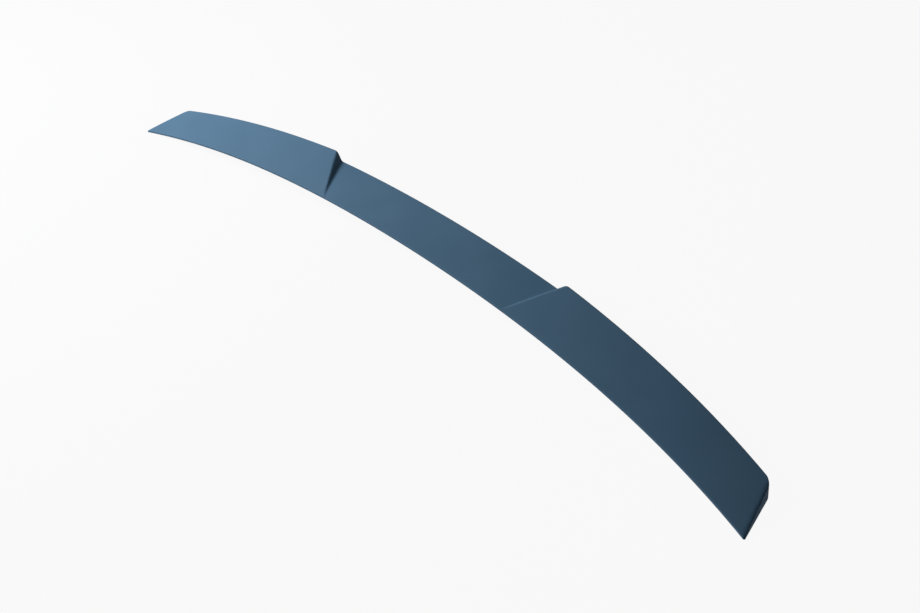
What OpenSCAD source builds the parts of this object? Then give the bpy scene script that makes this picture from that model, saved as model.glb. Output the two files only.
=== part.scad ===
// Stick-on rear lip spoiler, moulded in one piece.
// A long thin blade follows the curve of the roof edge. Its middle is low, and a slanting
// step on each side rises to a taller wing that falls away towards the tip.
// Frame: X runs across the car, Y to the rear and Z up. The origin is the middle of the
// leading edge, on the face that is bonded down.

/* [Blade] */
// Length from tip to tip
blade_len = 1120; // [1000:5:1240]
// How far the tips lie forward of the middle
sweep = 65; // [30:0.5:80]
// Share of the sweep that comes in close to the tips
sweep_tip_share = 0.32; // [0:0.01:0.6]
// How far the tips lie below the middle
arch = 27.5; // [10:0.5:50]
// Share of the arch that comes in close to the tips
arch_tip_share = 0.09; // [0:0.01:0.4]
// Depth of the bonded face from front to rear, in the middle
chord = 65.7; // [58:0.1:74]
// How much less deep the bonded face is at the tips
tip_chord_loss = 1.4; // [0:0.1:5]

/* [Edges] */
// Height of the leading edge
front_h = 3.2; // [2.6:0.1:5]
// Rounding along the top of the leading edge
front_r = 1.2; // [0.4:0.1:1.8]
// Rounding along the trailing lip
lip_r = 1.8; // [0.8:0.1:3]
// Backward lean of the rear face, in degrees
rear_lean = 11.8; // [4:0.1:18]
// Swell of the upper face above a straight line from edge to lip
crown = 0.6; // [0:0.1:1.5]

/* [Middle] */
// Height of the lip in the low middle
middle_h = 18.4; // [15:0.1:23]

/* [Wings] */
// Height of the lip beside the step
wing_inner_h = 31.3; // [27:0.1:38]
// Height of the lip at the tip
wing_outer_h = 14.7; // [12:0.1:20]
// Share of the fall that comes in close to the tip
wing_tip_share = 0.22; // [0:0.01:0.5]

/* [Step] */
// Distance of the step's crest from the middle, at the lip
crest_rear_x = 220.2; // [190:0.1:260]
// Distance of the step's crest from the middle, at the leading edge
crest_front_x = 174; // [150:1:185]
// Width of the sloping step, at the lip
step_rear_w = 10.6; // [8:0.1:16]
// Width of the sloping step where it dies out, at the leading edge
step_front_w = 3; // [2:0.5:5]
// Length of the hollow blend at the foot of the step, as a share of its width
foot_blend = 0.65; // [0.4:0.05:0.9]
// Length of the rounded blend at the crest of the step, as a share of its width
crest_blend = 0.75; // [0.3:0.05:1]

/* [Ends] */
// How much shorter the blade is at the rear than at the front, on each side
end_taper = 11.4; // [4:0.1:16]
// Inward lean of the end faces, in degrees
end_lean = 17; // [8:0.1:26]
// Rounding of the rear corner, seen from above
rear_corner_r = 8; // [6:0.5:10]
// Rounding of the front corner, seen from above
front_corner_r = 2.5; // [1.5:0.1:4]
// Length over which the top rolls off towards the end face
end_roll_run = 5; // [2:0.1:6]
// How far the top has rolled off at the end face
end_roll_drop = 1.5; // [0.5:0.1:1.8]

/* [Underside] */
// Thickness of the roof over the core pockets
roof_t = 3.4; // [2.4:0.1:4]
// Width of the front bonding land
front_land = 15; // [12:0.5:18]
// Width of the rear bonding land
rear_land = 11; // [9:0.5:14]
// Depth of the tape seat that is sunk in each land
seat_depth = 0.8; // [0.4:0.1:1.2]
// Width of the rim that is left beside a tape seat
seat_rim = 1.6; // [1:0.1:2.2]
// Thickness of a cross rib at its free edge
rib_t = 4; // [3:0.5:6]
// Gap between the free edge of a rib and the bonding plane
rib_gap = 1; // [0.5:0.1:1.6]
// Solid wall between the last pocket and the rounding of the end corner
end_wall = 2; // [1:0.5:8]
// Least depth of a pocket. The front land is wider where the blade is too thin for it.
pocket_min = 2.4; // [1.8:0.1:3]
// Draft of the pocket walls, measured as the offset at the pocket roof
pocket_draft = 1.2; // [0.8:0.1:2]
// Rounding at the roof corners of the pockets
pocket_r = 2.5; // [1:0.5:3]
// Pockets between the middle rib and the step, on each side
middle_bays = 2; // [2:1:3]
// Pockets in each wing
wing_bays = 4; // [3:1:6]

/* [Smoothness] */
// Sections between the two ribs of a pocket
bay_sections = 5; // [3:1:6]
// Sections round each end corner
corner_sections = 8; // [5:1:10]
// Facets round the trailing lip
lip_facets = 5; // [3:1:7]

/* [Hidden] */
half_len = blade_len / 2;
lean_run = tan(rear_lean);
end_run = tan(end_lean);
blend_foot_end = foot_blend / 2;
blend_crest_end = 1 + crest_blend / 2;
seat_bevel = seat_depth / 2;
front_facets = 2;
pocket_facets = 2;
crown_stops = [0.25, 0.5, 0.75];
foot_stops = [-1, -0.5, 0, 0.5, 1];
crest_stops = [-1, -0.5, 0, 0.5];

// Plan and front-view curve of the leading edge at x
function tip_curve(u, share) = (1 - share) * pow(u, 2) + share * pow(u, 4);
function edge_y(x) = -sweep * tip_curve(x / half_len, sweep_tip_share);
function edge_z(x) = -arch * tip_curve(x / half_len, arch_tip_share);
function chord_at(x) = chord - tip_chord_loss * pow(x / half_len, 2);

// Height of the wing's lip at x, level inboard of the crest
function wing_h(x) =
    let (a = max(0, (x - crest_rear_x) / (half_len - crest_rear_x)))
    wing_inner_h - (wing_inner_h - wing_outer_h) * (a + wing_tip_share * (a * a - a));

// A slope that starts at 0, with a smooth blend of length len
function eased(v, len) =
    v < -len / 2 ? 0 : v > len / 2 ? v : pow(v + len / 2, 2) / (2 * len);

// Share of the step's rise at v, where 0 is its foot and 1 its crest
function rise(v) = eased(v, foot_blend) - eased(v - 1, crest_blend);

// The crest and width of the step at s, from 0 at the leading edge to 1 at the lip
function crest_x(s) = crest_front_x + (crest_rear_x - crest_front_x) * s;
function step_w(s) = step_front_w + (step_rear_w - step_front_w) * s;
function step_x(v, s) = crest_x(s) - (1 - v) * step_w(s);
function end_x(s, z) = half_len - end_taper * s - end_run * z;

// A section is named by p: 0 to 1 in the middle, 1 to 2 across the step, 2 to 3 in a wing
function step_v(p) = -blend_foot_end + (p - 1) * (blend_crest_end + blend_foot_end);
function section_x(p, s, z) =
    p < 1 ? p * step_x(-blend_foot_end, s)
    : p < 2 ? step_x(step_v(p), s)
    : let (inner = step_x(blend_crest_end, s)) inner + (p - 2) * (end_x(s, z) - inner);

// Height of the lip in section p
function lip_h(p) =
    let (x = section_x(p, 1, 0))
    p < 1 ? middle_h
    : p < 2 ? middle_h + (wing_h(x) - middle_h) * rise(step_v(p))
    : wing_h(x);

// How far a rounded corner of radius r has cut back at a distance from the end
function corner_cut(r, gap) = gap >= r ? 0 : r - sqrt(r * r - pow(r - gap, 2));

// Points of an arc that rounds the corner b between a and c
function unit(v) = v / norm(v);
function rounded(a, b, c, r, n) =
    let (u = unit(a - b), w = unit(c - b), half = acos(u * w) / 2, turn = 180 - 2 * half,
        centre = b + unit(u + w) * r / sin(half),
        first = b + u * r / tan(half) - centre, last = b + w * r / tan(half) - centre)
    [for (i = [0:n]) centre + (first * sin(turn * (1 - i / n)) + last * sin(turn * i / n)) / sin(turn)];

// Outer skin of a section in [y, z], from the leading edge over the top to the rear foot
function skin(deep, high, front_cut, rear_cut, drop) =
    let (slope = (high - front_h) / (deep + high * lean_run),
        low = front_h - drop,
        foot = [deep - rear_cut, 0],
        nose = [front_cut, low + slope * front_cut],
        lip_z = (low + slope * foot[0]) / (1 - slope * lean_run),
        lip = [foot[0] + lip_z * lean_run, lip_z],
        top = [for (t = crown_stops) nose + t * (lip - nose) + [0, 4 * crown * t * (1 - t)]])
    concat([[front_cut, 0]],
        rounded([front_cut, 0], nose, top[0], front_r, front_facets),
        top,
        rounded(top[len(top) - 1], lip, foot, lip_r, lip_facets),
        [foot]);

// A tape seat in the land between y0 and y1. It is sunk where seat is 1 and flush where it is 0.
function tape_seat(y0, y1, seat) =
    let (dir = sign(y1 - y0))
    [[y0 + dir * seat_rim, 0], [y0 + dir * (seat_rim + seat_bevel), seat * seat_depth],
     [y1 - dir * (seat_rim + seat_bevel), seat * seat_depth], [y1 - dir * seat_rim, 0]];

// Underside of a section, from the rear foot to the leading edge. It is open over a pocket
// and otherwise lies at web_z, the free edge of a rib or the foot of an end wall.
function under(deep, high, front_cut, rear_cut, open, seat, web_z) =
    let (rear = deep - rear_cut, slope = (high - front_h) / (deep + high * lean_run),
        roof = front_h - roof_t * sqrt(1 + slope * slope),
        back_y = rear - rear_land - pocket_draft,
        fore_y = max(front_cut + front_land + pocket_draft, (pocket_min - roof) / slope),
        back_foot = [back_y + pocket_draft, 0], back = [back_y, roof + slope * back_y],
        fore_foot = [fore_y - pocket_draft, 0], fore = [fore_y, roof + slope * fore_y],
        corners = concat(
            rounded(back_foot, back, fore, pocket_r, pocket_facets),
            rounded(back, fore, fore_foot, min(pocket_r, fore[1] / 2), pocket_facets)))
    concat(tape_seat(rear, back_foot[0], seat), [back_foot],
        [for (c = corners) [c[0], open ? c[1] : web_z]],
        [fore_foot], tape_seat(front_cut + front_land, front_cut, seat));

// One section as points in space. A station is [p, open, seat, web_z], as under() reads them.
function section(station) =
    let (p = station[0], side = p < 0 ? -1 : 1, q = abs(p),
        gap = half_len - end_taper - section_x(q, 1, 0),
        front_cut = corner_cut(front_corner_r, gap),
        rear_cut = corner_cut(rear_corner_r, gap),
        drop = end_roll_drop / end_roll_run * corner_cut(end_roll_run, gap),
        deep = chord_at(section_x(q, 1, 0)),
        high = lip_h(q),
        deepest = deep + high * lean_run,
        flat = concat(skin(deep, high, front_cut, rear_cut, drop),
            under(deep, high, front_cut, rear_cut, station[1], station[2], station[3])))
    [for (f = flat) let (x = section_x(q, f[0] / deepest, f[1]))
        [side * x, edge_y(x) + f[0], edge_z(x) + f[1]]];

// Stations over a pocket, along a rib and in the solid end
function over_pocket(p) = [p, true, 1, 0];
function on_rib(p) = [p, false, 1, rib_gap];
function in_end(p) = [p, false, 0, 0];

// Length in p of one millimetre at the lip, in the middle and in a wing
mm_middle = 1 / step_x(-blend_foot_end, 1);
mm_wing = 1 / (half_len - end_taper - step_x(blend_crest_end, 1));
half_rib = rib_t / 2;
rib_to_pocket = half_rib + pocket_draft;

// Stations of one pocket between ribs at p0 and p1, with the edges of the ribs that face it
function pocket(p0, p1, mm) =
    let (first = p0 + rib_to_pocket * mm, last = p1 - rib_to_pocket * mm)
    concat([on_rib(p0 + half_rib * mm)],
        [for (i = [0:bay_sections]) over_pocket(first + (last - first) * i / bay_sections)],
        [on_rib(p1 - half_rib * mm)]);

// Pockets in the middle, up to the last rib before the step
middle_pockets = [for (k = [0:middle_bays - 2])
    each pocket(k / middle_bays, (k + 1) / middle_bays, mm_middle)];

// The pocket under the step, from that rib to the first rib of the wing
last_middle_rib = (middle_bays - 1) / middle_bays;
first_wing_rib = 2 + rib_to_pocket * mm_wing;
run_to_step = 1 - last_middle_rib - rib_to_pocket * mm_middle;
function at_step(v) = 1 + (v + blend_foot_end) / (blend_crest_end + blend_foot_end);
step_pocket = concat([on_rib(last_middle_rib + half_rib * mm_middle)],
    [for (i = [0:bay_sections - 1]) over_pocket(1 - run_to_step * (1 - i / bay_sections))],
    [for (v = foot_stops) over_pocket(at_step(v * foot_blend / 2))],
    [for (v = crest_stops) over_pocket(at_step(1 + v * crest_blend / 2))],
    [over_pocket(2), on_rib(first_wing_rib - half_rib * mm_wing)]);

// Pockets in a wing, and the solid end with its rounded corners
last_wing_rib = 3 - (rear_corner_r + end_wall - half_rib) * mm_wing;
wing_rib_pitch = (last_wing_rib - first_wing_rib) / wing_bays;
wing_pockets = [for (k = [0:wing_bays - 1]) let (p = first_wing_rib + k * wing_rib_pitch)
    each pocket(p, p + wing_rib_pitch, mm_wing)];
corner_stations = [for (i = [0:corner_sections])
    in_end(3 - rear_corner_r * (1 - sin(90 * i / corner_sections)) * mm_wing)];

right_half = concat(middle_pockets, step_pocket, wing_pockets, corner_stations);
left_half = [for (i = [len(right_half) - 1:-1:0])
    let (r = right_half[i]) [-r[0], r[1], r[2], r[3]]];
stations = concat(left_half, [on_rib(0)], right_half);

// Centre of the box round a section
function box_centre(ring) =
    [for (k = [0:2]) let (v = [for (point = ring) point[k]]) (min(v) + max(v)) / 2];

// Skin over a row of closed sections, with a fan of triangles at each end
module loft(rings) {
    n = len(rings[0]);
    m = len(rings);
    last = (m - 1) * n;
    points = concat([for (ring = rings) each ring], [box_centre(rings[0]), box_centre(rings[m - 1])]);
    sides = [for (j = [0:m - 2], i = [0:n - 1])
        let (a = j * n + i, b = j * n + (i + 1) % n) each [[a, b, b + n], [a, b + n, a + n]]];
    ends = [for (i = [0:n - 1]) let (k = (i + 1) % n)
        each [[m * n, k, i], [m * n + 1, last + i, last + k]]];
    polyhedron(points = points, faces = concat(sides, ends), convexity = 6);
}

module spoiler_body() {
    color([0.26, 0.37, 0.46]) loft([for (s = stations) section(s)]);
}

spoiler_body();
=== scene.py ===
# %% [markdown]
# # A rear lip spoiler in satin slate-blue primer
#
# The real object is a single moulding, a little over a metre long and only a few
# centimetres high. It follows the roof edge of a car: its middle is low, and a slanting step
# on each side rises to a taller wing that thins out towards the tip. It is bonded down, so
# its underside is open, with two lands for adhesive tape and cored-out pockets between ribs.
#
# The lesson builds it in this order: the frame, the camera, the white studio and its lamps,
# the curves that shape the blade, its cross-section, the mesh, and last the two finishes.
# Lengths are written in millimetres, as on a drawing, and turned into metres when the mesh
# is made.

import math

import bmesh
import bpy
from mathutils import Matrix, Vector


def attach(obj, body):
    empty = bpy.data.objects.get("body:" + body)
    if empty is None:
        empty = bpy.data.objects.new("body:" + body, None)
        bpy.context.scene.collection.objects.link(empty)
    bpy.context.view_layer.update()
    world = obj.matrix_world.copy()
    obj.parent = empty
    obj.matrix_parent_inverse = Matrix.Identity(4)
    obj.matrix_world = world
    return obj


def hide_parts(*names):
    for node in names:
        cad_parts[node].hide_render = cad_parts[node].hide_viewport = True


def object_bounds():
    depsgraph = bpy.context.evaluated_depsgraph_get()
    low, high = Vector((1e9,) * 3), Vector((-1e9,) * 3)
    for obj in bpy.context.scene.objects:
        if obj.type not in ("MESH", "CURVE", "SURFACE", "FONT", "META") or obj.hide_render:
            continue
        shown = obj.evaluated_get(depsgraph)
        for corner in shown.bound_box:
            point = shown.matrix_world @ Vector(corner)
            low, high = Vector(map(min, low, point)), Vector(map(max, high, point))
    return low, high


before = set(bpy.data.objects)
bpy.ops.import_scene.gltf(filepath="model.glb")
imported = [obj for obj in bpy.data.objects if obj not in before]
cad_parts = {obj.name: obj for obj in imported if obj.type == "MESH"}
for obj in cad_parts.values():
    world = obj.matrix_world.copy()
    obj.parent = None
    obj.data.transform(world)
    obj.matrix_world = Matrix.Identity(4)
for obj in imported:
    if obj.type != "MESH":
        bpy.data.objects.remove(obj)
cad_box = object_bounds()
scene = bpy.context.scene
MM = 0.001
print("box of the solid, in mm:", [round(side / MM, 1) for side in cad_box[1] - cad_box[0]])

# %% [markdown]
# ## The camera
#
# A part is easiest to judge from the angle of its photograph. Three ways exist to find it:
# by eye, with a matching tool, or by fitting a camera to edges whose shape is known. The
# last was used here. The blade is symmetrical, so its two outlines fix the angle well. The
# camera stands in front of the right-hand tip and looks down along the blade, and a small
# roll finishes the fit. The lens follows from the focal length in pixels, because the sensor
# is as wide as the long side of the picture.

# %% The camera
PICTURE_W = 920
FOCAL_PX = 925.0
CAMERA_PLACE = Vector((0.7381, -0.6323, 0.7667))
CAMERA_AZIMUTH = math.radians(45.410)
CAMERA_ELEVATION = math.radians(41.997)
CAMERA_ROLL = math.radians(-1.018)


def camera_axes(azimuth, elevation, roll):
    """The camera's right, up and backward directions. Azimuth 0 looks along +Y."""
    back = Vector((math.sin(azimuth) * math.cos(elevation),
                   -math.cos(azimuth) * math.cos(elevation),
                   math.sin(elevation)))
    level = Vector((math.cos(azimuth), math.sin(azimuth), 0))
    upright = back.cross(level)
    right = math.cos(roll) * level + math.sin(roll) * upright
    return right, back.cross(right), back


camera_data = bpy.data.cameras.new("camera")
camera = bpy.data.objects.new("camera", camera_data)
scene.collection.objects.link(camera)
camera_data.lens = camera_data.sensor_width * FOCAL_PX / PICTURE_W
turn = Matrix(camera_axes(CAMERA_AZIMUTH, CAMERA_ELEVATION, CAMERA_ROLL)).transposed()
camera.matrix_world = Matrix.Translation(CAMERA_PLACE) @ turn.to_4x4()
scene.camera = camera
print("lens:", round(camera_data.lens, 2), "mm at", [round(c, 3) for c in CAMERA_PLACE])

# %% [markdown]
# ## White that lights nothing
#
# The picture shows the blade on plain white. White could come from strong lamps, but then
# the paint would wash out. Instead the floor and the world are white only to camera, glossy
# and transmission rays, so that the coat's faint sheen mirrors the white that is seen. A
# Light Path node tells the rays apart. A node group could hold it, but an export can't read
# it inside one, so a small function adds it to the world and to the floor's material.

# %% White that lights nothing
WHITE = (1, 1, 1, 1)
WHITE_KINDS = ("Is Camera Ray", "Is Glossy Ray", "Is Transmission Ray")
NODE_STEP = 200


def node_tree(owner):
    """An emptied node tree of a material or world, with its output node."""
    owner.use_nodes = True
    tree = owner.node_tree
    tree.nodes.clear()
    kind = "ShaderNodeOutputWorld" if isinstance(owner, bpy.types.World) else "ShaderNodeOutputMaterial"
    return tree, tree.nodes.new(kind)


def add(tree, kind, place, **values):
    """A new node at a place in the editor, with its properties set."""
    node = tree.nodes.new(kind)
    node.location = place
    for name, value in values.items():
        setattr(node, name, value)
    return node


def white_rays(tree, place):
    """1 for the rays that meet plain white, with the Light Path node that tells them apart."""
    path = add(tree, "ShaderNodeLightPath", place)
    share = path.outputs[WHITE_KINDS[0]]
    for i, kind in enumerate(WHITE_KINDS[1:], start=1):
        either = add(tree, "ShaderNodeMath", (place[0] + NODE_STEP * i, place[1]), operation="MAXIMUM")
        tree.links.new(share, either.inputs[0])
        tree.links.new(path.outputs[kind], either.inputs[1])
        share = either.outputs[0]
    return share, path


print("rays that meet white:", WHITE_KINDS)

# %% [markdown]
# ## The studio around the blade
#
# Past the floor there is only the world. To the chosen rays it is white at strength 1. Every
# other ray meets a very dim, cool studio, which keeps the shadows from going black without
# washing out the paint. A real studio would need walls, but nothing here would show them.

# %% The studio around the blade
STUDIO_DIM = (0.80, 0.90, 1.0, 1)
STUDIO_STRENGTH = 0.02


def make_world():
    world = bpy.data.worlds.new("studio")
    tree, out = node_tree(world)
    share, _ = white_rays(tree, (-900, 200))
    dim = add(tree, "ShaderNodeBackground", (-300, 0))
    dim.inputs["Color"].default_value = STUDIO_DIM
    dim.inputs["Strength"].default_value = STUDIO_STRENGTH
    white = add(tree, "ShaderNodeBackground", (-300, -150))
    white.inputs["Color"].default_value = WHITE
    mix = add(tree, "ShaderNodeMixShader", (0, 0))
    tree.links.new(share, mix.inputs[0])
    tree.links.new(dim.outputs[0], mix.inputs[1])
    tree.links.new(white.outputs[0], mix.inputs[2])
    tree.links.new(mix.outputs[0], out.inputs["Surface"])
    return world


scene.world = make_world()
scene.view_settings.view_transform = "Standard"
print("world:", scene.world.name, "at strength", STUDIO_STRENGTH)

# %% [markdown]
# ## The floor
#
# The floor is a plain sheet just below the blade. Most of what the camera sees of it is the
# white emission, and a small share is its real grey shading, which keeps a faint shadow. Its
# back face is clear, and so is the whole floor to shadow rays. A camera below then sees the
# underside, and a lamp below lights it, while the shadow on top of the floor stays.

# %% The floor
FLOOR_GAP = 0.5 * MM
FLOOR_HALF = 6.0
FLOOR_GREY = (0.30, 0.30, 0.31, 1)
SHADOW_SHARE = 0.07


def floor_material():
    material = bpy.data.materials.new("floor_white")
    tree, out = node_tree(material)
    rays, path = white_rays(tree, (-1300, 300))
    side = add(tree, "ShaderNodeNewGeometry", (-600, 500))
    see_through = add(tree, "ShaderNodeMath", (-300, 400), operation="MAXIMUM")
    share = add(tree, "ShaderNodeMath", (-600, 300), operation="MULTIPLY")
    share.inputs[1].default_value = 1 - SHADOW_SHARE
    grey = add(tree, "ShaderNodeBsdfDiffuse", (-600, 100))
    grey.inputs["Color"].default_value = FLOOR_GREY
    white = add(tree, "ShaderNodeEmission", (-600, -50))
    white.inputs["Color"].default_value = WHITE
    seen = add(tree, "ShaderNodeMixShader", (-300, 100))
    clear = add(tree, "ShaderNodeBsdfTransparent", (-300, -100))
    both = add(tree, "ShaderNodeMixShader", (0, 100))
    tree.links.new(rays, share.inputs[0])
    tree.links.new(share.outputs[0], seen.inputs[0])
    tree.links.new(grey.outputs[0], seen.inputs[1])
    tree.links.new(white.outputs[0], seen.inputs[2])
    tree.links.new(side.outputs["Backfacing"], see_through.inputs[0])
    tree.links.new(path.outputs["Is Shadow Ray"], see_through.inputs[1])
    tree.links.new(see_through.outputs[0], both.inputs[0])
    tree.links.new(seen.outputs[0], both.inputs[1])
    tree.links.new(clear.outputs[0], both.inputs[2])
    tree.links.new(both.outputs[0], out.inputs["Surface"])
    return material


def make_floor(height):
    mesh = bpy.data.meshes.new("floor")
    corners = [(x * FLOOR_HALF, y * FLOOR_HALF, height) for x, y in ((-1, -1), (1, -1), (1, 1), (-1, 1))]
    mesh.from_pydata(corners, [], [(0, 1, 2, 3)])
    mesh.materials.append(floor_material())
    floor = bpy.data.objects.new("floor", mesh)
    scene.collection.objects.link(floor)
    return floor


floor = make_floor(cad_box[0].z - FLOOR_GAP)
print("floor at", round(cad_box[0].z - FLOOR_GAP, 4), "m")

# %% [markdown]
# ## The light
#
# In the photograph the far tip is several times as bright as the near one, and the far
# step's wall, which faces away from that end, is almost black. One large soft lamp beyond
# the far tip explains both: light falls off with distance and grazes the blade along its
# length. Two weak lamps stand low beyond the near tip and behind the blade, and a broad one
# stands below it. They graze or miss the upper face, and keep the walls, the rear and the
# underside from black.

# %% The light
LAMP_AIM = Vector((0.0, 0.0, 0.0))
LAMPS = (
    # name, place, size in metres, watts
    ("key_lamp", Vector((-1.14, -0.56, 0.82)), 0.7, 36.0),
    ("side_lamp", Vector((2.40, -1.00, 0.0)), 1.0, 5.0),
    ("rear_lamp", Vector((0.40, 1.90, 0.40)), 1.0, 5.0),
    ("under_lamp", Vector((0.20, -0.30, -1.50)), 1.5, 24.0),
)


def area_lamp(name, place, aim, size, watts):
    data = bpy.data.lights.new(name, "AREA")
    data.shape = "SQUARE"
    data.size = size
    data.energy = watts
    lamp = bpy.data.objects.new(name, data)
    scene.collection.objects.link(lamp)
    lamp.location = place
    lamp.rotation_mode = "QUATERNION"
    lamp.rotation_quaternion = (aim - place).to_track_quat("-Z", "Y")
    return lamp


lamps = [area_lamp(name, place, LAMP_AIM, size, watts) for name, place, size, watts in LAMPS]
print("lamps:", [lamp.name for lamp in lamps])

# %% [markdown]
# ## The curves of the blade
#
# A lip spoiler is drawn with a few long curves. Seen from above, the leading edge sweeps
# forward towards the tips. Seen from the front, it arches down. Both are the same kind of
# curve, a square and a fourth power mixed, where the fourth power bends the last stretch
# near the tips. A spline would do as well, but a formula has only two numbers to tune, and
# every other line of the blade can be measured from it.

# %% The curves of the blade
HALF_LEN = 560.0
SWEEP, SWEEP_TIP_SHARE = 65.0, 0.32
ARCH, ARCH_TIP_SHARE = 27.5, 0.09
CHORD, TIP_CHORD_LOSS = 65.7, 1.4


def tip_curve(u, share):
    return (1 - share) * u ** 2 + share * u ** 4


def edge_y(x):
    """How far back the leading edge lies at x, which is negative for forward."""
    return -SWEEP * tip_curve(x / HALF_LEN, SWEEP_TIP_SHARE)


def edge_z(x):
    """How high the leading edge lies at x."""
    return -ARCH * tip_curve(x / HALF_LEN, ARCH_TIP_SHARE)


def chord_at(x):
    """Depth of the bonded face at x."""
    return CHORD - TIP_CHORD_LOSS * (x / HALF_LEN) ** 2


print("tip lies", round(-edge_y(HALF_LEN), 1), "mm forward and", round(-edge_z(HALF_LEN), 1), "mm down")

# %% [markdown]
# ## The wings and the steps
#
# The wing's lip falls from the step to the tip, a little hollow on its way. The step climbs
# from the low middle to the wing. Two straight lines with a bevel would be the short way,
# but the real foot is a hollow blend and the crest a round one, so that no sharp line shows
# at either. One easing function makes both.

# %% The wings and the steps
FRONT_H, MIDDLE_H, WING_INNER_H, WING_OUTER_H, WING_TIP_SHARE = 3.2, 18.4, 31.3, 14.7, 0.22
CREST_REAR_X = 220.2
FOOT_BLEND, CREST_BLEND = 0.65, 0.75


def wing_h(x):
    """Height of the wing's lip at x, level inboard of the crest."""
    a = max(0.0, (x - CREST_REAR_X) / (HALF_LEN - CREST_REAR_X))
    return WING_INNER_H - (WING_INNER_H - WING_OUTER_H) * (a + WING_TIP_SHARE * (a * a - a))


def eased(v, length):
    """A slope that starts at 0, with a smooth blend of that length."""
    if v < -length / 2:
        return 0.0
    return v if v > length / 2 else (v + length / 2) ** 2 / (2 * length)


def rise(v):
    """Share of the step's height at v, where 0 is its foot and 1 its crest."""
    return eased(v, FOOT_BLEND) - eased(v - 1, CREST_BLEND)


print("share of the step's height:", [round(rise(v), 2) for v in (-0.3, 0, 0.5, 1, 1.3)])

# %% [markdown]
# ## Slanting sections
#
# The step runs at a slant: at the lip it stands well outboard of where it dies out at the
# leading edge. So the blade isn't cut by straight sections, which would leave a staircase
# along the step. Each section follows a slanting line across the blade, named by a number p:
# 0 to 1 in the middle, 1 to 2 across the step and 2 to 3 in a wing. The end leans inward
# both across the blade and upward.

# %% Slanting sections
CREST_FRONT_X = 174.0
STEP_REAR_W, STEP_FRONT_W = 10.6, 3.0
END_TAPER, END_LEAN = 11.4, math.radians(17.0)
END_RUN = math.tan(END_LEAN)
FOOT_START, CREST_END = -FOOT_BLEND / 2, 1 + CREST_BLEND / 2


def step_x(v, s):
    """Distance from the middle of the step's line v, at s from leading edge to lip."""
    crest = CREST_FRONT_X + (CREST_REAR_X - CREST_FRONT_X) * s
    return crest - (1 - v) * (STEP_FRONT_W + (STEP_REAR_W - STEP_FRONT_W) * s)


def step_v(p):
    return FOOT_START + (p - 1) * (CREST_END - FOOT_START)


def section_x(p, s, z):
    """Distance from the middle of section p, at s from leading edge to lip and height z."""
    if p < 1:
        return p * step_x(FOOT_START, s)
    if p < 2:
        return step_x(step_v(p), s)
    inner = step_x(CREST_END, s)
    outer = HALF_LEN - END_TAPER * s - END_RUN * z
    return inner + (p - 2) * (outer - inner)


def lip_h(p):
    """Height of the lip in section p."""
    wing = wing_h(section_x(p, 1, 0))
    if p < 1:
        return MIDDLE_H
    return MIDDLE_H + (wing - MIDDLE_H) * rise(step_v(p)) if p < 2 else wing


print("lip heights:", [round(lip_h(p), 1) for p in (0, 1, 1.5, 2, 2.5, 3)])

# %% [markdown]
# ## Rounding a corner
#
# Moulded edges are never sharp. A bevel modifier could round them afterwards, but it is
# hard to steer where edges meet at a low angle. Here every corner of the section is rounded
# as it is drawn: an arc is laid between the two straight lines that meet. The second helper
# does the same in plan, where it says how far a rounded corner has cut back.

# %% Rounding a corner


def rounded(a, b, c, radius, steps):
    """Points of an arc that rounds the corner b between a and c."""
    u, w = (a - b).normalized(), (c - b).normalized()
    half = math.acos(max(-1.0, min(1.0, u.dot(w)))) / 2
    turn = math.pi - 2 * half
    centre = b + (u + w).normalized() * radius / math.sin(half)
    first = b + u * radius / math.tan(half) - centre
    last = b + w * radius / math.tan(half) - centre
    return [centre + (first * math.sin(turn * (1 - i / steps)) + last * math.sin(turn * i / steps))
            / math.sin(turn) for i in range(steps + 1)]


def corner_cut(radius, gap):
    """How far a rounded corner has cut back at a distance from the end."""
    return 0.0 if gap >= radius else radius - math.sqrt(radius ** 2 - (radius - gap) ** 2)


print("a square corner of radius 2:", [tuple(round(c, 2) for c in p) for p in
                                       rounded(Vector((0, 5)), Vector((0, 0)), Vector((5, 0)), 2, 2)])

# %% [markdown]
# ## The outer skin of a section
#
# A section is drawn flat, as depth y and height z, in one loop. The outer skin runs from the
# foot of the leading edge, over the nose and the gently swelling upper face, round the lip
# and down the rear face, which leans back. It could be a bezier profile, but straight lines
# with rounded corners are what a drawing of such a part gives.

# %% The outer skin of a section
FRONT_R, LIP_R, FOOT_R, CROWN = 1.2, 1.8, 0.5, 0.6
REAR_LEAN = math.radians(11.8)
LEAN_RUN = math.tan(REAR_LEAN)
TOP_STEPS, NOSE_STEPS, LIP_STEPS, FOOT_STEPS = 16, 6, 12, 3


def skin(deep, high, front_cut, rear_cut, drop):
    """Outer skin, from the leading edge over the top to the rear foot."""
    slope = (high - FRONT_H) / (deep + high * LEAN_RUN)
    low = FRONT_H - drop
    toe = Vector((front_cut, 0))
    foot = Vector((deep - rear_cut, 0))
    nose = Vector((front_cut, low + slope * front_cut))
    lip_z = (low + slope * foot.x) / (1 - slope * LEAN_RUN)
    lip = Vector((foot.x + lip_z * LEAN_RUN, lip_z))
    stops = [i / (TOP_STEPS + 1) for i in range(1, TOP_STEPS + 1)]
    top = [nose.lerp(lip, t) + Vector((0, 4 * CROWN * t * (1 - t))) for t in stops]
    inside = Vector(((toe.x + foot.x) / 2, 0))
    return (rounded(inside, toe, nose, FOOT_R, FOOT_STEPS)
            + rounded(toe, nose, top[0], FRONT_R, NOSE_STEPS)
            + top
            + rounded(top[-1], lip, foot, LIP_R, LIP_STEPS)
            + rounded(lip, foot, inside, FOOT_R, FOOT_STEPS))


demo = skin(CHORD, MIDDLE_H, 0, 0, 0)
print("outer skin:", len(demo), "points, lip at", tuple(round(c, 1) for c in max(demo, key=lambda q: q.y)))

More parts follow.
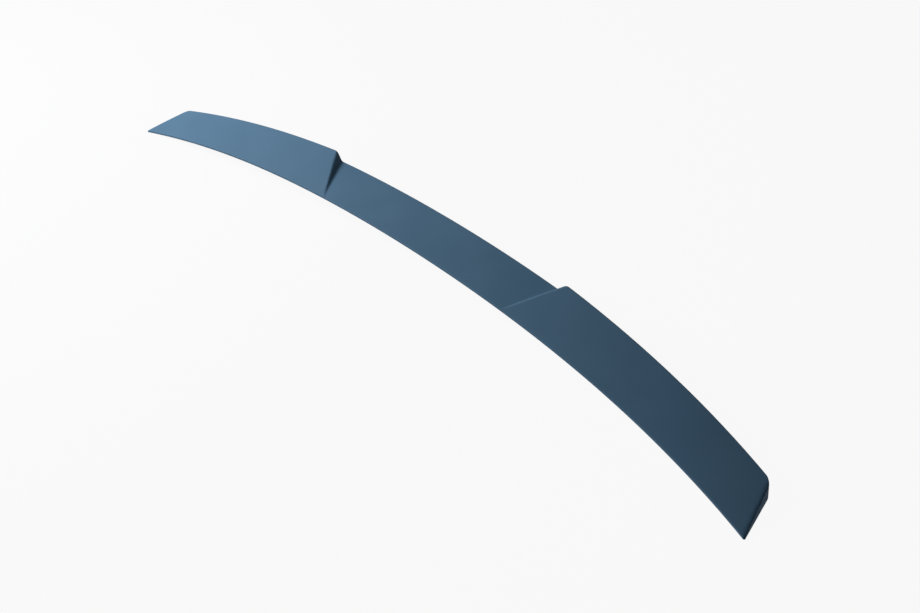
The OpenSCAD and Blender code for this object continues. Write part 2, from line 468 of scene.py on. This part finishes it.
# %% [markdown]
# ## The underside of a section
#
# Below, the loop returns from the rear foot: rear land, tape seat, pocket, front land. The
# pocket keeps the walls thin, as a moulded part needs, and its sides are drafted so that the
# core of the mould comes out. Along a rib or in the solid end the pocket is closed, and near
# a rib its roof comes down in a fillet. Every section has as many points as the next, which
# is what lets the mesh be joined by plain quads, where a cutter would leave ragged faces.

# %% The underside of a section
ROOF_T, FRONT_LAND, REAR_LAND = 3.4, 15.0, 11.0
SEAT_DEPTH, SEAT_RIM, SEAT_BEVEL = 0.8, 1.6, 0.4
POCKET_MIN, POCKET_DRAFT, POCKET_R, POCKET_STEPS = 2.4, 1.2, 2.5, 6


def tape_seat(y0, y1, depth):
    """A tape seat of that depth in the land between y0 and y1."""
    way = math.copysign(1, y1 - y0)
    return [Vector((y0 + way * SEAT_RIM, 0)), Vector((y0 + way * (SEAT_RIM + SEAT_BEVEL), depth)),
            Vector((y1 - way * (SEAT_RIM + SEAT_BEVEL), depth)), Vector((y1 - way * SEAT_RIM, 0))]


def underside(deep, high, front_cut, rear_cut, station):
    """Underside, from the rear foot to the leading edge."""
    rear = deep - rear_cut
    slope = (high - FRONT_H) / (deep + high * LEAN_RUN)
    roof = FRONT_H - ROOF_T * math.sqrt(1 + slope ** 2)
    back_y = rear - REAR_LAND - POCKET_DRAFT
    fore_y = max(front_cut + FRONT_LAND + POCKET_DRAFT, (POCKET_MIN - roof) / slope)
    back, fore = Vector((back_y, roof + slope * back_y)), Vector((fore_y, roof + slope * fore_y))
    back_foot, fore_foot = Vector((back_y + POCKET_DRAFT, 0)), Vector((fore_y - POCKET_DRAFT, 0))
    corners = (rounded(back_foot, back, fore, POCKET_R, POCKET_STEPS)
               + rounded(back, fore, fore_foot, min(POCKET_R, fore.y / 2), POCKET_STEPS))
    if station["open"]:
        pocket = [Vector((c.x, max(station["web_z"], c.y - station["fillet"]))) for c in corners]
    else:
        pocket = [Vector((c.x, station["web_z"])) for c in corners]
    seat = SEAT_DEPTH * station["seat"]
    return (tape_seat(rear, back_foot.x, seat) + [back_foot] + pocket
            + [fore_foot] + tape_seat(front_cut + FRONT_LAND, front_cut, seat))


front_seat = tape_seat(0, FRONT_LAND, SEAT_DEPTH)
print("front tape seat:", [tuple(round(c, 1) for c in point) for point in front_seat])

# %% [markdown]
# ## Sections round one pocket
#
# The mesh needs few sections where the blade is plain and many where it turns: round the
# end corners, across the step, and on both sides of every rib. Each station therefore
# carries its own facts: its p, whether its pocket is open, how deep the tape seats are, how
# high the rib stands back and how far the fillet has come down. Two factors turn millimetres
# along the lip into p.

# %% Sections round one pocket
RIB_T, RIB_GAP = 4.0, 1.0
SECTION_PITCH = 4.0
FILLET_STOPS = (0.0, 0.08, 0.25, 0.5, 1.0)
MM_MIDDLE = 1 / step_x(FOOT_START, 1)
MM_WING = 1 / (HALF_LEN - END_TAPER - step_x(CREST_END, 1))


def station(p, is_open=False, seat=1.0, web_z=RIB_GAP, fillet=0.0):
    return {"p": p, "open": is_open, "seat": seat, "web_z": web_z, "fillet": fillet}


def rib_side(p, mm, way):
    """Stations from a rib at p into the pocket on its side, or back where way is -1."""
    face = p + way * RIB_T / 2 * mm
    out = [station(face)]
    for stop in FILLET_STOPS:
        gap = stop * POCKET_R
        out.append(station(face + way * (POCKET_DRAFT + gap) * mm, True, fillet=corner_cut(POCKET_R, gap)))
    return out if way > 0 else out[::-1]


def plain_run(p0, p1, mm):
    """Evenly spaced open stations strictly between p0 and p1."""
    count = max(1, round((p1 - p0) / mm / SECTION_PITCH))
    return [station(p0 + (p1 - p0) * i / count, True) for i in range(1, count)]


def pocket_run(p0, p1, mm):
    """Stations of one pocket, from the rib at p0 to the rib at p1."""
    first, last = rib_side(p0, mm, 1), rib_side(p1, mm, -1)
    return first + plain_run(first[-1]["p"], last[0]["p"], mm) + last


print("stations of the first pocket:", len(pocket_run(0, 0.5, MM_MIDDLE)))

# %% [markdown]
# ## All sections in order
#
# The list is made for one half, from the middle rib to the tip, and mirrored, because the
# object is symmetrical. A mirror modifier would do the same for the mesh, but it would leave
# a seam to merge in the middle.

# %% All sections in order
MIDDLE_BAYS, WING_BAYS = 2, 4
END_WALL, REAR_CORNER_R = 2.0, 8.0
STEP_SECTIONS, CORNER_SECTIONS = 30, 20


def step_run(p0, p1):
    """Stations of the pocket under the step."""
    first, last = rib_side(p0, MM_MIDDLE, 1), rib_side(p1, MM_WING, -1)
    across = [station(1 + i / STEP_SECTIONS, True) for i in range(STEP_SECTIONS + 1)]
    return (first + plain_run(first[-1]["p"], 1.0, MM_MIDDLE) + across
            + plain_run(2.0, last[0]["p"], MM_WING) + last)


def end_run():
    """Stations of the solid end, close together where the corners turn."""
    turns = [math.sin(math.pi / 2 * i / CORNER_SECTIONS) for i in range(CORNER_SECTIONS + 1)]
    return [station(3 - REAR_CORNER_R * (1 - t) * MM_WING, seat=0.0, web_z=0.0) for t in turns]


first_wing_rib = 2 + (RIB_T / 2 + POCKET_DRAFT) * MM_WING
last_wing_rib = 3 - (REAR_CORNER_R + END_WALL - RIB_T / 2) * MM_WING
wing_pitch = (last_wing_rib - first_wing_rib) / WING_BAYS
half = []
for bay in range(MIDDLE_BAYS - 1):
    half += pocket_run(bay / MIDDLE_BAYS, (bay + 1) / MIDDLE_BAYS, MM_MIDDLE)
half += step_run((MIDDLE_BAYS - 1) / MIDDLE_BAYS, first_wing_rib)
for bay in range(WING_BAYS):
    half += pocket_run(first_wing_rib + bay * wing_pitch, first_wing_rib + (bay + 1) * wing_pitch, MM_WING)
half += end_run()
stations = [dict(s, p=-s["p"]) for s in reversed(half)] + [station(0.0)] + half
print(len(stations), "stations, in order:", all(a["p"] < b["p"] for a, b in zip(stations, stations[1:])))

# %% [markdown]
# ## A section in space
#
# Each flat section is now laid along its slanting line on the swept and arched leading edge.
# Close to the tip the two corners cut it back and the upper face rolls down a little.

# %% A section in space
FRONT_CORNER_R = 2.5
END_ROLL_RUN, END_ROLL_DROP = 5.0, 1.5


def section(facts):
    """One section as points in space, in metres, and how many of them are outer skin."""
    side, p = math.copysign(1, facts["p"]), abs(facts["p"])
    lip_x = section_x(p, 1, 0)
    gap = HALF_LEN - END_TAPER - lip_x
    cuts = corner_cut(FRONT_CORNER_R, gap), corner_cut(REAR_CORNER_R, gap)
    deep, high = chord_at(lip_x), lip_h(p)
    drop = END_ROLL_DROP / END_ROLL_RUN * corner_cut(END_ROLL_RUN, gap)
    outer = skin(deep, high, *cuts, drop)
    flat = outer + underside(deep, high, *cuts, facts)
    points = []
    for y, z in flat:
        x = section_x(p, y / (deep + high * LEAN_RUN), z)
        points.append(Vector((side * x, edge_y(x) + y, edge_z(x) + z)) * MM)
    return points, len(outer)


rows = [section(facts) for facts in stations]
print(len(rows), "sections of", len(rows[0][0]), "points")

# %% [markdown]
# ## The mesh
#
# The sections are joined by quads, and each end is closed by one face that is cut into
# triangles. A lofted mesh like this could also come from a curve with a bevel object, but
# then the slanting step, the ribs and the rounded corners would need separate cutters. Faces
# of the underside get the second material slot, because the finish there is another one.

# %% The mesh
SKIN_SLOT, UNDERSIDE_SLOT = 0, 1
SHARP_ANGLE = math.radians(32)


def loft(name, rows, skin_count):
    """A closed mesh over rows of points. Faces past skin_count points are underside."""
    bm = bmesh.new()
    rings = [[bm.verts.new(point) for point in row] for row in rows]
    size = len(rows[0])
    for near, far in zip(rings, rings[1:]):
        for i in range(size):
            j = (i + 1) % size
            face = bm.faces.new((near[i], near[j], far[j], far[i]))
            face.material_index = SKIN_SLOT if i < skin_count else UNDERSIDE_SLOT
            face.smooth = True
    caps = [bm.faces.new(rings[0][::-1]), bm.faces.new(rings[-1])]
    bmesh.ops.triangulate(bm, faces=caps)
    bmesh.ops.recalc_face_normals(bm, faces=bm.faces)
    mesh = bpy.data.meshes.new(name)
    bm.to_mesh(mesh)
    bm.free()
    return mesh


blade_mesh = loft("spoiler_blade", [points for points, _ in rows], rows[0][1])
blade_mesh.set_sharp_from_angle(angle=SHARP_ANGLE)
blade = bpy.data.objects.new("spoiler_blade", blade_mesh)
scene.collection.objects.link(blade)
print("blade:", len(blade_mesh.vertices), "points and", len(blade_mesh.polygons), "faces")

# %% [markdown]
# ## The grain of the coat
#
# Primer and bare moulding share one effect at two strengths: a fine uneven skin. Close up,
# sprayed primer has a soft orange peel, some hundredths of a millimetre high, over a finer
# dusty tooth. One node group makes it, with the sizes as its inputs. It gives out a height
# for a Bump node and a tone, a slow drift with a little of the speckle, for colour and gloss.

# %% The grain of the coat
GRAIN_DEFAULTS = {"Peel Scale": 350.0, "Tooth Scale": 2500.0, "Drift Scale": 14.0, "Tooth Share": 0.3,
                  "Speckle Share": 0.3}
PEEL_DETAIL, TOOTH_DETAIL, DRIFT_DETAIL = 2.0, 3.0, 2.0


def noise(tree, place, coordinates, scale, detail):
    node = add(tree, "ShaderNodeTexNoise", place)
    node.inputs["Detail"].default_value = detail
    tree.links.new(coordinates, node.inputs["Vector"])
    tree.links.new(scale, node.inputs["Scale"])
    return node.outputs["Fac"]


def coat_grain_group():
    """Height and tone of a sprayed or moulded skin. Scales are per metre."""
    group = bpy.data.node_groups.new("coat_grain", "ShaderNodeTree")
    for name, value in GRAIN_DEFAULTS.items():
        made = group.interface.new_socket(name=name, in_out="INPUT", socket_type="NodeSocketFloat")
        made.default_value = value
    for name in ("Height", "Tone"):
        group.interface.new_socket(name=name, in_out="OUTPUT", socket_type="NodeSocketFloat")
    given = add(group, "NodeGroupInput", (-900, 0))
    out = add(group, "NodeGroupOutput", (300, 0))
    where = add(group, "ShaderNodeTexCoord", (-900, 300)).outputs["Object"]
    peel = noise(group, (-600, 200), where, given.outputs["Peel Scale"], PEEL_DETAIL)
    tooth = noise(group, (-600, -50), where, given.outputs["Tooth Scale"], TOOTH_DETAIL)
    drift = noise(group, (-600, -300), where, given.outputs["Drift Scale"], DRIFT_DETAIL)
    for name, share, first, place in (("Height", "Tooth Share", peel, (-200, 100)),
                                      ("Tone", "Speckle Share", drift, (-200, -200))):
        blend = add(group, "ShaderNodeMix", place, data_type="FLOAT")
        group.links.new(given.outputs[share], blend.inputs[0])
        group.links.new(first, blend.inputs[2])
        group.links.new(tooth, blend.inputs[3])
        group.links.new(blend.outputs[0], out.inputs[name])
    return group


coat_grain = coat_grain_group()
print("group:", coat_grain.name, "with outputs",
      [item.name for item in coat_grain.interface.items_tree if item.in_out == "OUTPUT"])

# %% [markdown]
# ## A coat from the grain
#
# Both finishes are the same kind of thing: a satin or matt coat whose colour and gloss follow
# the grain's tone and whose bump is the grain's height. An image of a sprayed panel could
# give that too, but it would need unwrapping and would repeat over so long a blade. The
# shader stays in the material, with plain numbers set on its own sockets.

# %% A coat from the grain
NOISE_LOW, NOISE_HIGH = 0.3, 0.7


def mapped(tree, place, value, low, high):
    """Noise, which seldom leaves the range named above, carried over to low to high."""
    node = add(tree, "ShaderNodeMapRange", place)
    node.inputs["From Min"].default_value = NOISE_LOW
    node.inputs["From Max"].default_value = NOISE_HIGH
    node.inputs["To Min"].default_value = low
    node.inputs["To Max"].default_value = high
    tree.links.new(value, node.inputs["Value"])
    return node.outputs["Result"]


def mixed_colour(tree, place, factor, first, second):
    """A mix of two plain colours by a factor."""
    node = add(tree, "ShaderNodeMix", place, data_type="RGBA")
    node.inputs[6].default_value = first
    node.inputs[7].default_value = second
    tree.links.new(factor, node.inputs[0])
    return node.outputs[2]


def grain_node(tree, place, settings):
    node = add(tree, "ShaderNodeGroup", place, node_tree=coat_grain)
    for name, value in settings.items():
        node.inputs[name].default_value = value
    return node


def coat_material(name, grain, colours, gloss, specular, bump, height):
    """A satin or matt coat: colour and gloss drift with the grain, and the grain bumps it."""
    material = bpy.data.materials.new(name)
    tree, out = node_tree(material)
    skin_grain = grain_node(tree, (-900, 0), grain)
    shader = add(tree, "ShaderNodeBsdfPrincipled", (0, 0))
    shader.inputs["Specular IOR Level"].default_value = specular
    tone = skin_grain.outputs["Tone"]
    shade = mixed_colour(tree, (-300, 200), mapped(tree, (-600, 200), tone, 0, 1), *colours)
    tree.links.new(shade, shader.inputs["Base Color"])
    tree.links.new(mapped(tree, (-600, -100), tone, *gloss), shader.inputs["Roughness"])
    relief = add(tree, "ShaderNodeBump", (-300, -300))
    relief.inputs["Strength"].default_value = bump
    relief.inputs["Distance"].default_value = height
    tree.links.new(skin_grain.outputs["Height"], relief.inputs["Height"])
    tree.links.new(relief.outputs["Normal"], shader.inputs["Normal"])
    tree.links.new(shader.outputs[0], out.inputs["Surface"])
    return material


print("noise from", NOISE_LOW, "to", NOISE_HIGH, "drives the coats")

# %% [markdown]
# ## Slate-blue primer
#
# The outer skin is a satin slate blue. Its colour drifts by some parts in a hundred between
# a thin and a full coat, and it is glossier where it is thin. The bump is too low to see as
# lumps from afar but breaks up reflections, as a real coat does. The coat mirrors little,
# so its specular level is far below the usual half.

# %% Slate-blue primer
PRIMER_THIN = (0.052, 0.107, 0.169, 1)
PRIMER_FULL = (0.063, 0.124, 0.193, 1)
PRIMER_GLOSS = (0.54, 0.62)
PRIMER_SPECULAR = 0.05
PRIMER_BUMP = 1.0
PRIMER_BUMP_HEIGHT = 0.12 * MM
PRIMER_GRAIN = {"Peel Scale": 420.0, "Tooth Scale": 2600.0, "Drift Scale": 14.0, "Tooth Share": 0.25,
                "Speckle Share": 0.35}

primer = coat_material("slate_primer", PRIMER_GRAIN, (PRIMER_THIN, PRIMER_FULL),
                       PRIMER_GLOSS, PRIMER_SPECULAR, PRIMER_BUMP, PRIMER_BUMP_HEIGHT)
print("made", primer.name)

# %% [markdown]
# ## The bare underside
#
# Nobody paints the face that is bonded down. It gets only the dust of the spray gun, so the
# underside is darker, rougher and a little greyer than the skin. The same material builder
# makes it, with finer but deeper lumps and a larger share of tooth.

# %% The bare underside
BARE_DARK = (0.030, 0.050, 0.070, 1)
BARE_LIGHT = (0.048, 0.078, 0.105, 1)
BARE_GLOSS = (0.62, 0.75)
BARE_SPECULAR = 0.15
BARE_BUMP = 1.0
BARE_BUMP_HEIGHT = 0.16 * MM
BARE_GRAIN = {"Peel Scale": 700.0, "Tooth Scale": 3200.0, "Drift Scale": 30.0, "Tooth Share": 0.5,
              "Speckle Share": 0.4}

bare = coat_material("bare_underside", BARE_GRAIN, (BARE_DARK, BARE_LIGHT),
                     BARE_GLOSS, BARE_SPECULAR, BARE_BUMP, BARE_BUMP_HEIGHT)
blade_mesh.materials.append(primer)
blade_mesh.materials.append(bare)
print("blade has", [m.name for m in blade_mesh.materials])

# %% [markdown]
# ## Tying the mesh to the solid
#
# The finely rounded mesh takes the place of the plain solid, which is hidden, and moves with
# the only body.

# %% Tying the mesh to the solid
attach(blade, "root")
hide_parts("spoiler_body")
